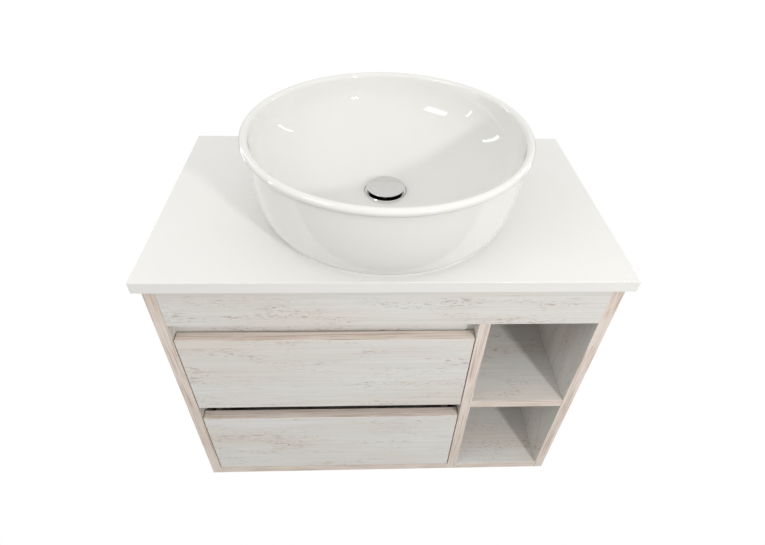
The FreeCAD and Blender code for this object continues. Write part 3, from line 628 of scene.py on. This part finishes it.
def finish_tree(tree, given, out, geometry):
    real = node(tree, "GeometryNodeRealizeInstances", {"Geometry": geometry})
    painted = node(tree, "GeometryNodeSetMaterial",
                   {"Geometry": real.outputs[0], "Material": given.outputs["Finish"]})
    tree.links.new(painted.outputs[0], out.inputs["Geometry"])


def aimed(tree, points, instance, scale=None):
    """The instance on every point, its Z turned to the point's direction."""
    way = node(tree, "GeometryNodeInputNamedAttribute", {"Name": "aim"}, data_type="FLOAT_VECTOR").outputs[0]
    turn = node(tree, "FunctionNodeAlignRotationToVector", {"Vector": way}, axis="Z").outputs[0]
    sockets = {"Points": points, "Instance": instance, "Rotation": turn}
    if scale is not None:
        sockets["Scale"] = scale
    return node(tree, "GeometryNodeInstanceOnPoints", sockets).outputs[0]


def screw_tree():
    """Countersunk cross-head screws: each point is the middle of a head's face."""
    tree, given, out = geometry_tree("countersunk_screws", [
        ("Head Radius", "NodeSocketFloat", 0.0036), ("Shank Radius", "NodeSocketFloat", 0.0018),
        ("Head Height", "NodeSocketFloat", 0.002), ("Finish", "NodeSocketMaterial", None)])
    head_r, shank_r, head_h = (given.outputs[n] for n in ("Head Radius", "Shank Radius", "Head Height"))
    cone = node(tree, "GeometryNodeMeshCone", {"Vertices": 28, "Radius Top": shank_r, "Radius Bottom": head_r,
                                               "Depth": head_h}).outputs[0]
    narrow = math_node(tree, "MULTIPLY", head_r, 0.24)
    wide = math_node(tree, "MULTIPLY", head_r, 1.15)
    deep = math_node(tree, "MULTIPLY", head_h, 0.7)
    head = cut(tree, cone, cutter_cross(tree, narrow, wide, deep))
    rod = node(tree, "GeometryNodeMeshCylinder", {"Vertices": 20, "Radius": shank_r, "Depth": 1.0}).outputs[0]
    rod = node(tree, "GeometryNodeTransform", {"Geometry": rod, "Translation": (0, 0, 0.5)}).outputs[0]
    rod = node(tree, "GeometryNodeTransform", {"Geometry": rod, "Scale": (0.96, 0.96, 1.0)}).outputs[0]
    length = node(tree, "GeometryNodeInputNamedAttribute", {"Name": "length"}, data_type="FLOAT").outputs[0]
    start = math_node(tree, "SUBTRACT", length, 0.0018)
    stretch = node(tree, "ShaderNodeCombineXYZ", {0: 1.0, 1: 1.0, 2: start}).outputs[0]
    way = node(tree, "GeometryNodeInputNamedAttribute", {"Name": "aim"}, data_type="FLOAT_VECTOR").outputs[0]
    inset = node(tree, "ShaderNodeVectorMath", {0: way, "Scale": 0.0018}, operation="SCALE").outputs[0]
    shifted = node(tree, "GeometryNodeSetPosition",
                   {"Geometry": given.outputs["Geometry"], "Offset": inset}).outputs[0]
    both = tree.nodes.new("GeometryNodeJoinGeometry")
    tree.links.new(aimed(tree, given.outputs["Geometry"], head), both.inputs[0])
    tree.links.new(aimed(tree, shifted, rod, stretch), both.inputs[0])
    finish_tree(tree, given, out, both.outputs[0])
    return tree


def cam_tree():
    """Cam locks: a disc with a cross and a pointer in its face."""
    tree, given, out = geometry_tree("cam_locks", [
        ("Radius", "NodeSocketFloat", 0.0075), ("Height", "NodeSocketFloat", 0.014),
        ("Finish", "NodeSocketMaterial", None)])
    radius, height = given.outputs["Radius"], given.outputs["Height"]
    disc = node(tree, "GeometryNodeMeshCylinder", {"Vertices": 48, "Radius": radius, "Depth": height}).outputs[0]
    half = math_node(tree, "MULTIPLY", height, 0.5)
    up = node(tree, "ShaderNodeCombineXYZ", {2: half}).outputs[0]
    disc = node(tree, "GeometryNodeTransform", {"Geometry": disc, "Translation": up}).outputs[0]
    narrow = math_node(tree, "MULTIPLY", radius, 0.26)
    wide = math_node(tree, "MULTIPLY", radius, 1.25)
    cross = cutter_cross(tree, narrow, wide, math_node(tree, "MULTIPLY", radius, 0.35))
    reach = math_node(tree, "MULTIPLY", radius, 0.82)
    spot = node(tree, "ShaderNodeCombineXYZ", {0: reach}).outputs[0]
    dent = node(tree, "GeometryNodeMeshCone",
                {"Vertices": 3,
                 "Radius Top": math_node(tree, "MULTIPLY", radius, 0.14),
                 "Radius Bottom": math_node(tree, "MULTIPLY", radius, 0.14),
                 "Depth": math_node(tree, "MULTIPLY", radius, 0.2)}).outputs[0]
    dent = node(tree, "GeometryNodeTransform", {"Geometry": dent, "Translation": spot}).outputs[0]
    finish_tree(tree, given, out, aimed(tree, given.outputs["Geometry"], cut(tree, disc, cross, dent)))
    return tree


def ball_tree():
    """Balls in rows: each edge of the seed is one row."""
    tree, given, out = geometry_tree("ball_rows", [
        ("Radius", "NodeSocketFloat", 0.0016), ("Spacing", "NodeSocketFloat", 0.008),
        ("Finish", "NodeSocketMaterial", None)])
    rows = node(tree, "GeometryNodeMeshToCurve", {"Mesh": given.outputs["Geometry"]}).outputs[0]
    places = node(tree, "GeometryNodeResampleCurve", {"Curve": rows, "Length": given.outputs["Spacing"]},
                  mode="LENGTH").outputs[0]
    ball = node(tree, "GeometryNodeMeshIcoSphere",
                {"Radius": given.outputs["Radius"], "Subdivisions": 2}).outputs[0]
    set_on = node(tree, "GeometryNodeInstanceOnPoints", {"Points": places, "Instance": ball}).outputs[0]
    finish_tree(tree, given, out, set_on)
    return tree


# ---- pieces --------------------------------------------------------------------------------------
def basin_outline(settings):
    """The basin's whole section as (radius, height above the worktop)."""
    power = 2.0 / settings.fullness
    lip = settings.lip_radius
    lip_r, lip_z = BASIN_RADIUS - lip, BASIN_HEIGHT - lip
    quarter = math.pi / 2
    skin_top = lip_z - SKIN_DROP
    skin = []
    for i in range(SKIN_STEPS + 1):
        t = quarter * i / SKIN_STEPS
        out = settings.foot_radius + (settings.wall_radius - settings.foot_radius) * math.sin(t) ** power
        skin.append((out, skin_top - (skin_top - FOOT_HEIGHT) * math.cos(t) ** power))
    hollow_r = settings.lip_fillet
    curl_r = settings.wall_radius + hollow_r
    curl_z = lip_z - math.sqrt((lip + hollow_r) ** 2 - (curl_r - lip_r) ** 2)
    turn = math.degrees(math.atan2(curl_z - lip_z, curl_r - lip_r))
    curl = arc((curl_r, curl_z), hollow_r, 180, turn + 180, CURL_STEPS)
    roll = curl + arc((lip_r, lip_z), lip, turn, 180, ROLL_STEPS)[1:]
    bowl_r, depth = lip_r - lip, lip_z - settings.floor_height
    recess = (FLANGE_HIGH.x - FLANGE_LOW.x) / 2 + RECESS_GAP
    last = math.asin((recess / bowl_r) ** (1 / power))
    bowl = []
    for i in range(1, BOWL_STEPS + 1):
        t = quarter + (last - quarter) * i / BOWL_STEPS
        bowl.append((bowl_r * math.sin(t) ** power, lip_z - depth * math.cos(t) ** power))
    under = []
    for i in range(UNDER_STEPS + 1):
        t = UNDER_START + (UNDER_END - UNDER_START) * i / UNDER_STEPS
        under.append(((bowl_r + SHELL) * math.sin(t) ** power,
                      lip_z - (depth + SHELL) * math.cos(t) ** power))
    drain = [(recess, SEAT_HEIGHT), (DRAIN_RADIUS, SEAT_HEIGHT),
             (DRAIN_RADIUS, FOOT_HEIGHT), (under[0][0], FOOT_HEIGHT)]
    return skin + roll + bowl + drain + under + list(HOLLOW)


class VANITY_OT_materials(bpy.types.Operator):
    """Make every finish and give each node of the frame its own"""

    bl_idname = "vanity.materials"
    bl_label = "Finishes"

    def execute(self, context):
        MATERIALS.update(all_materials())
        slots = {s["node"]: s["material_slot"] for s in frame["record"]["subparts"]}
        for name, thing in NODES.items():
            finish = SLOT_FINISH[slots[name]]
            if name in UPRIGHT_GRAIN:
                finish = "board_upright"
            set_material(thing, MATERIALS[finish])
        return {"FINISHED"}


class VANITY_OT_basin(bpy.types.Operator):
    """Turn the basin from its section"""

    bl_idname = "vanity.basin"
    bl_label = "Basin"

    def execute(self, context):
        settings = context.scene.vanity_basin
        outline = outline_mesh("basin_outline", basin_outline(settings))
        tree = bpy.data.node_groups.get("lathe") or lathe_tree()
        grown("vessel_basin", outline, tree, {"Segments": settings.segments, "Axis": AXIS},
              MATERIALS["glaze"], "root", ["basin"])
        return {"FINISHED"}


class VANITY_OT_plug(bpy.types.Operator):
    """Turn the domed cap of the plug"""

    bl_idname = "vanity.plug"
    bl_label = "Plug cap"

    def execute(self, context):
        radius = (CAP_HIGH.x - CAP_LOW.x) / 2
        height, edge, rise = CAP_HIGH.z - CAP_LOW.z, 0.9 * MM, 1.8 * MM
        shoulder = height - rise
        dome = [(radius * t, height - rise * t ** 2.2) for t in (0, 0.2, 0.4, 0.6, 0.75, 0.86, 0.93)]
        side = arc((radius - edge, shoulder - edge * 0.4), edge, 60, -20, 8)
        low = [(radius - 1.6 * MM, 0.25 * MM), (radius - 2.4 * MM, 0), (0, 0)]
        outline = outline_mesh("cap_outline", dome + side + low, closed=False)
        tree = bpy.data.node_groups.get("lathe") or lathe_tree()
        axis = Vector((AXIS.x, AXIS.y, CAP_LOW.z))
        grown("plug_dome", outline, tree, {"Segments": 96, "Axis": axis},
              MATERIALS["chrome"], "plug", ["plug_cap"], sharp=50.0)
        return {"FINISHED"}


def screw_seed(name):
    """The screws of a node as points: the middle of each head's face, its direction and its length."""
    places, aims, lengths = [], [], []
    for low, high, points in islands(name):
        size = high - low
        along = max(range(3), key=lambda i: size[i])
        across = [i for i in range(3) if i != along]
        middle = (low + high) / 2
        spread = {}
        for end in (low[along], high[along]):
            near = [p for p in points if abs(p[along] - end) < 0.0002]
            spread[end] = max((math.hypot(*(p[i] - middle[i] for i in across)) for p in near), default=0)
        head = max(spread, key=spread.get)
        place = middle.copy()
        place[along] = head
        aim = Vector((0, 0, 0))
        aim[along] = 1.0 if head == low[along] else -1.0
        places.append(place)
        aims.append(aim)
        lengths.append(size[along])
    return points_mesh(name + "_points", places, aims, lengths)


class VANITY_OT_screws(bpy.types.Operator):
    """Make the countersunk screws, one piece for each body"""

    bl_idname = "vanity.screws"
    bl_label = "Screws"

    def execute(self, context):
        settings = context.scene.vanity_fittings
        sizes = {"Head Radius": settings.head_radius, "Shank Radius": settings.shank_radius}
        tree = screw_tree()
        for name, body in (("fixing_screws", "root"), ("upper_drawer_screws", "upper_drawer"),
                           ("lower_drawer_screws", "lower_drawer")):
            grown("cross_head_" + name, screw_seed(name), tree, sizes, MATERIALS["steel"], body,
                  [name])
        return {"FINISHED"}


class VANITY_OT_cams(bpy.types.Operator):
    """Make the cam locks in the boards"""

    bl_idname = "vanity.cams"
    bl_label = "Cam locks"

    def execute(self, context):
        settings = context.scene.vanity_fittings
        places, aims, depths = [], [], []
        middle_z = (CAB_LOW_Z + WORKTOP_LOW.z) / 2
        for low, high, _ in islands("cam_locks"):
            size, middle = high - low, (low + high) / 2
            along = min(range(3), key=lambda i: size[i])
            upright = along == 2
            at_low = upright and middle.z < middle_z or not upright and middle.y > PANEL_LOW.y / 2
            place = middle.copy()
            place[along] = low[along] if at_low else high[along]
            aim = Vector((0, 0, 0))
            aim[along] = 1.0 if at_low else -1.0
            places.append(place)
            aims.append(aim)
            depths.append(size[along])
        grown("cam_lock_set", points_mesh("cam_points", places, aims, depths), cam_tree(),
              {"Radius": settings.cam_radius, "Height": min(depths)}, MATERIALS["cast"], "root",
              ["cam_locks"])
        return {"FINISHED"}


class VANITY_OT_balls(bpy.types.Operator):
    """Fill the drawer runners with their balls"""

    bl_idname = "vanity.balls"
    bl_label = "Runner balls"

    def execute(self, context):
        settings = context.scene.vanity_fittings
        tree = ball_tree()
        for body in ("upper_runner", "lower_runner"):
            members = body.replace("runner", "intermediate_members")
            corners, edges = [], []
            for low, high, _ in islands(members):
                middle_x, middle_z = (low.x + high.x) / 2, (low.z + high.z) / 2
                inward = math.copysign(1.0, middle_x - (PANEL_HIGH.x + DIVIDER_LOW.x) / 2)
                for sideways, rise in BALL_ROWS:
                    x = middle_x + inward * sideways
                    for side in (-1, 1):
                        edges.append((len(corners), len(corners) + 1))
                        corners.append((x, low.y + BALL_END_GAP, middle_z + side * rise))
                        corners.append((x, high.y - BALL_END_GAP, middle_z + side * rise))
            mesh = bpy.data.meshes.new(body + "_rows")
            mesh.from_pydata(corners, edges, [])
            grown(body + "_balls", mesh, tree, {"Radius": BALL_RADIUS, "Spacing": settings.ball_gap},
                  MATERIALS["steel"], body)
        return {"FINISHED"}


class VANITY_OT_stage(bpy.types.Operator):
    """Set the floor, the lights and the camera"""

    bl_idname = "vanity.stage"
    bl_label = "Stage"

    def execute(self, context):
        settings = context.scene.vanity_stage
        scene = context.scene
        scene.view_settings.view_transform = "Standard"
        make_camera(scene, settings)
        make_floor(settings)
        make_world(scene, settings)
        make_lights(settings)
        return {"FINISHED"}


def make_camera(scene, settings):
    camera = bpy.data.objects.new("camera", bpy.data.cameras.new("camera"))
    camera.location = settings.camera_place
    camera.rotation_euler = settings.camera_turn
    camera.data.sensor_width = 36.0
    camera.data.lens = settings.lens
    camera.data.clip_start = 0.01
    scene.collection.objects.link(camera)
    scene.camera = camera


def white_for_camera(tree, output, kind, soft):
    """Full white where the camera sees it straight, and a softer light for everything else."""
    seen = tree.nodes.new("ShaderNodeLightPath").outputs["Is Camera Ray"]
    plain = node(tree, kind, {"Color": (1, 1, 1, 1), "Strength": 1.0})
    mixed = node(tree, "ShaderNodeMixShader", {0: seen, 1: soft.outputs[0], 2: plain.outputs[0]})
    tree.links.new(mixed.outputs[0], output.inputs["Surface"])


def make_floor(settings):
    size = 6.0
    level = CAB_LOW_Z - settings.floor_drop
    mesh = bpy.data.meshes.new("floor")
    mesh.from_pydata([(-size, -size, level), (size, -size, level), (size, size, level), (-size, size, level)],
                     [], [(0, 1, 2, 3)])
    floor = bpy.data.objects.new("floor", mesh)
    bpy.context.scene.collection.objects.link(floor)
    material = bpy.data.materials.new("pale_floor")
    material.use_nodes = True
    tree = material.node_tree
    tree.nodes.remove(tree.nodes["Principled BSDF"])
    soft = node(tree, "ShaderNodeEmission", {"Color": (1.0, 0.99, 0.97, 1), "Strength": settings.ground})
    white_for_camera(tree, tree.nodes["Material Output"], "ShaderNodeEmission", soft)
    mesh.materials.append(material)


def make_world(scene, settings):
    """Light from all round, stronger from overhead."""
    world = bpy.data.worlds.new("studio")
    world.use_nodes = True
    tree = world.node_tree
    tree.nodes.remove(tree.nodes["Background"])
    way = tree.nodes.new("ShaderNodeTexCoord").outputs["Generated"]
    up = node(tree, "ShaderNodeSeparateXYZ", {0: way}).outputs[2]
    rise = {"Value": up, "From Min": 0.05, "From Max": 0.75, "To Min": settings.horizon, "To Max": settings.sky}
    strength = node(tree, "ShaderNodeMapRange", rise, clamp=True).outputs[0]
    soft = node(tree, "ShaderNodeBackground", {"Color": (1.0, 0.997, 0.985, 1), "Strength": strength})
    white_for_camera(tree, tree.nodes["World Output"], "ShaderNodeBackground", soft)
    scene.world = world


def area_light(name, place, target, width, height, power, colour=(1, 1, 1)):
    light = bpy.data.lights.new(name, "AREA")
    light.shape = "RECTANGLE"
    light.size, light.size_y = width, height
    light.energy = power
    light.color = colour
    lamp = bpy.data.objects.new(name, light)
    lamp.location = place
    lamp.rotation_euler = (Vector(target) - Vector(place)).to_track_quat("-Z", "Y").to_euler()
    bpy.context.scene.collection.objects.link(lamp)


def make_lights(settings):
    area_light("key", settings.key_place, KEY_AIM, KEY_WIDTH, KEY_HEIGHT, settings.key, (1.0, 0.99, 0.97))
    for light in LIGHTS:
        area_light(*light)


class VANITY_PT_panel(bpy.types.Panel):
    """Lists the vanity's steps in the sidebar"""

    bl_idname = "VANITY_PT_panel"
    bl_label = "Vanity"
    bl_space_type = "VIEW_3D"
    bl_region_type = "UI"
    bl_category = "Vanity"

    def draw(self, context):
        for step in STEPS:
            self.layout.operator(step.bl_idname)


STEPS = (VANITY_OT_stage, VANITY_OT_materials, VANITY_OT_basin, VANITY_OT_plug, VANITY_OT_screws,
         VANITY_OT_cams, VANITY_OT_balls)
SETTINGS = {"vanity_basin": BasinSettings, "vanity_finish": FinishSettings, "vanity_stage": StageSettings,
            "vanity_fittings": FittingSettings}


def register():
    for kind in (*SETTINGS.values(), *STEPS, VANITY_PT_panel):
        bpy.utils.register_class(kind)
    for name, kind in SETTINGS.items():
        setattr(bpy.types.Scene, name, bpy.props.PointerProperty(type=kind))


def unregister():
    for name in SETTINGS:
        delattr(bpy.types.Scene, name)
    for kind in (VANITY_PT_panel, *reversed(STEPS), *SETTINGS.values()):
        bpy.utils.unregister_class(kind)


def main():
    register()
    for step in STEPS:
        group_name, call = step.bl_idname.split(".")
        getattr(getattr(bpy.ops, group_name), call)()


if __name__ == "__main__":
    main()
